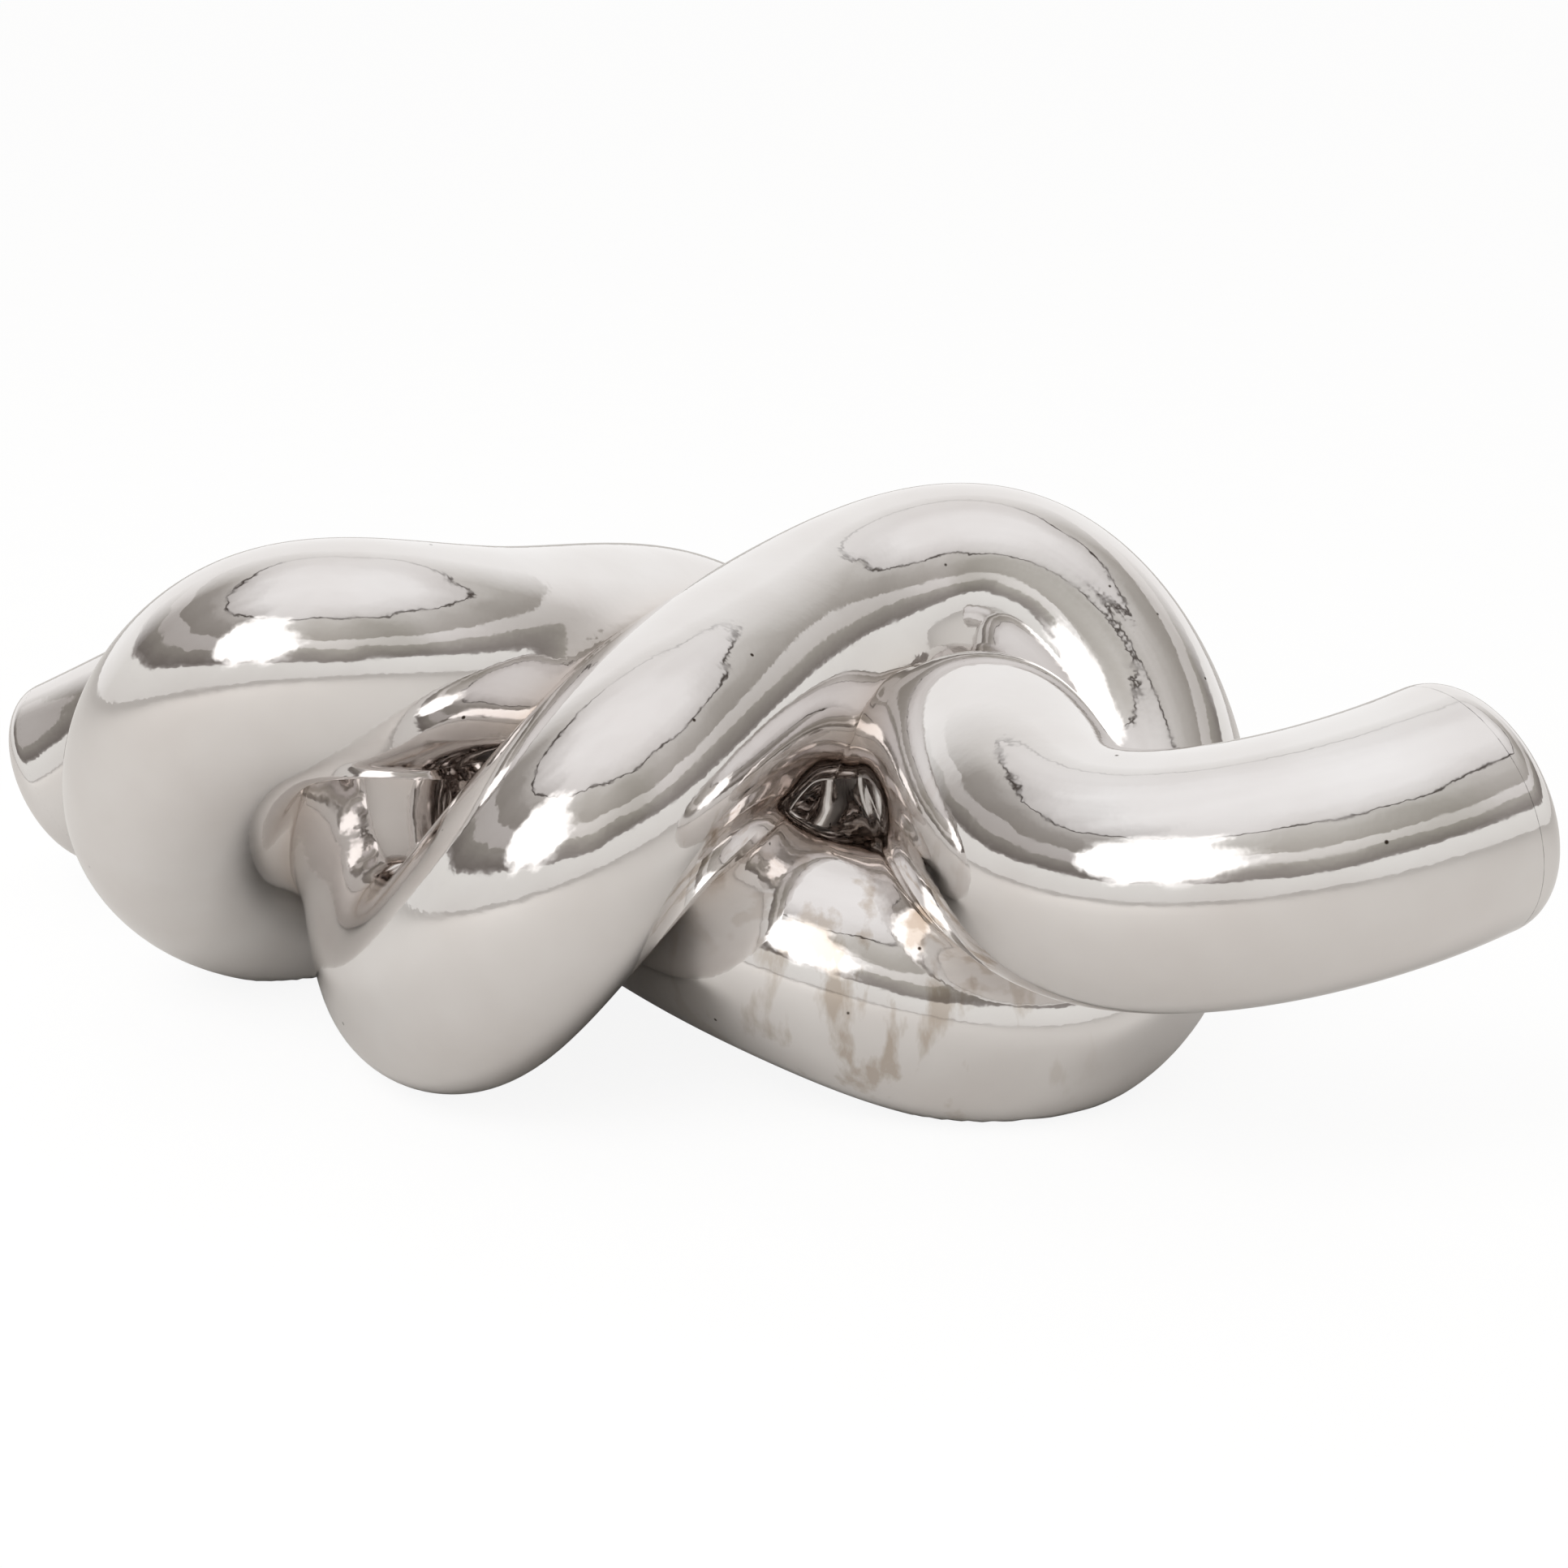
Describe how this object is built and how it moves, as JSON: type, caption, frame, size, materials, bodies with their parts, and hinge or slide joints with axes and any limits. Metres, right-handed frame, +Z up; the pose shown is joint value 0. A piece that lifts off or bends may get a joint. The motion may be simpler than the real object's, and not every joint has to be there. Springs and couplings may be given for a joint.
{
  "type": "ceramic knot sculpture",
  "caption": "Thick silver-glazed ceramic strand tied as an overhand knot, lying on ground feet as a free-standing table ornament.",
  "frame": {"origin": "on the table, under the middle of the object's box", "axes": "+X to the picture's right along the knot, +Y away from the camera, +Z up"},
  "size_m": [0.4236, 0.2978, 0.1499],
  "materials": {
    "silver_glaze": "metallic silver lustre over gloss glaze",
    "felt": "pressed felt"
  },
  "bodies": {
    "root": {"centre_bridge": "silver_glaze", "front_diagonal": "silver_glaze", "front_pad": "felt", "front_turn": "silver_glaze", "left_arm": "silver_glaze", "left_end_disc": "silver_glaze", "left_loop_lower": "silver_glaze", "left_loop_upper": "silver_glaze", "left_pad": "felt", "rear_diagonal": "silver_glaze", "rear_pad": "felt", "rear_turn": "silver_glaze", "right_arm": "silver_glaze", "right_end_disc": "silver_glaze", "right_loop_lower": "silver_glaze", "right_loop_upper": "silver_glaze", "right_pad": "felt"}
  },
  "joints": []
}
